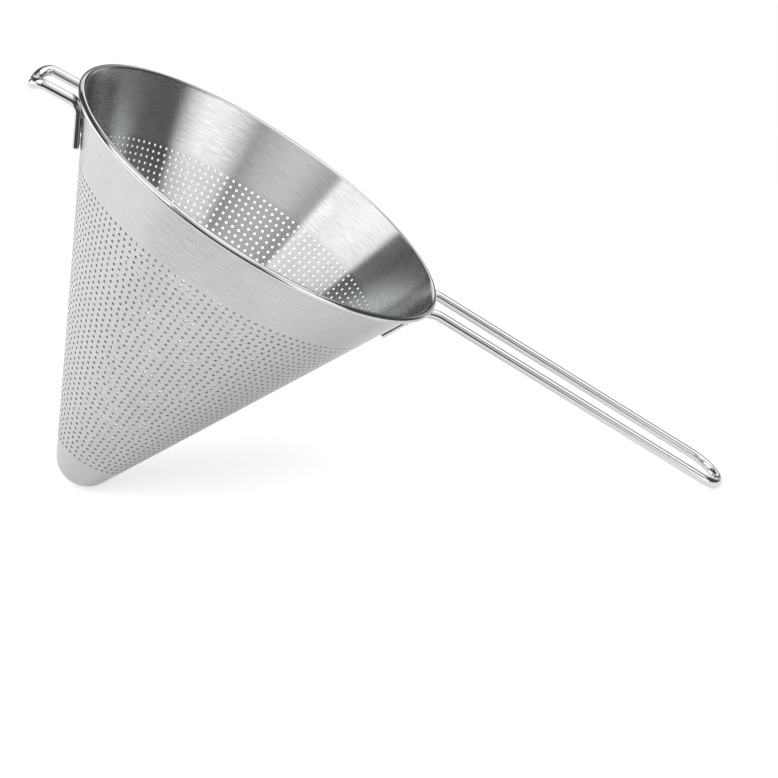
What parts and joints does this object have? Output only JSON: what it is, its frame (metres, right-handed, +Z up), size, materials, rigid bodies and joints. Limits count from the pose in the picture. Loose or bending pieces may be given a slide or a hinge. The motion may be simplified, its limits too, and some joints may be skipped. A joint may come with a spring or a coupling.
{
  "type": "conical sieve",
  "caption": "Conical stainless steel kitchen sieve with a perforated wall, rolled rim, wire loop handle and a wire hook that rests on a pot",
  "frame": {"origin": "on the surface that the sieve lies on, under the middle of its outline seen from above", "axes": "+X from the cone towards the end of the handle, +Y to the left of the handle seen from the cone, +Z up; the sieve lies on its tip and on the end of its handle, mirrored about the XZ plane"},
  "size_m": [0.3408, 0.2, 0.2154],
  "materials": {
    "sheet_steel": "satin, turned; polished on the rolled rim",
    "wire_steel": "polished",
    "weld_steel": "dull, fused"
  },
  "bodies": {
    "root": {"sieve_cone": "sheet_steel", "loop_handle": "wire_steel", "pot_hook": "wire_steel", "handle_weld_left_1": "weld_steel", "handle_weld_left_2": "weld_steel", "handle_weld_right_1": "weld_steel", "handle_weld_right_2": "weld_steel", "hook_weld_left_1": "weld_steel", "hook_weld_left_2": "weld_steel", "hook_weld_right_1": "weld_steel", "hook_weld_right_2": "weld_steel"}
  },
  "joints": []
}
